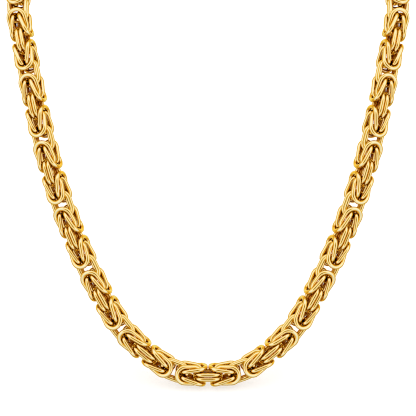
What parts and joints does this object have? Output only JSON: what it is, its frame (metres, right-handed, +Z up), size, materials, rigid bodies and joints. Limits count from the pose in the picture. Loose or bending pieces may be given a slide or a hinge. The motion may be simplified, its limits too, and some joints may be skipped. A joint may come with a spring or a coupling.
{
  "type": "byzantine chain necklace",
  "caption": "Heavy byzantine weave chain necklace in polished yellow gold, closed by a plain barrel clasp, in the form it has when worn.",
  "frame": {"origin": "The nape point: the middle of the clasp barrel's inner side, where it lies on the back of the neck", "axes": "+Z up, -Y towards the front of the necklace, +X to the right as seen from the front"},
  "size_m": [0.1428, 0.1078, 0.1534],
  "materials": {
    "gold": "polished yellow gold"
  },
  "bodies": {
    "root": {"chain_right": "gold", "chain_left": "gold", "clasp": "gold"}
  },
  "joints": []
}
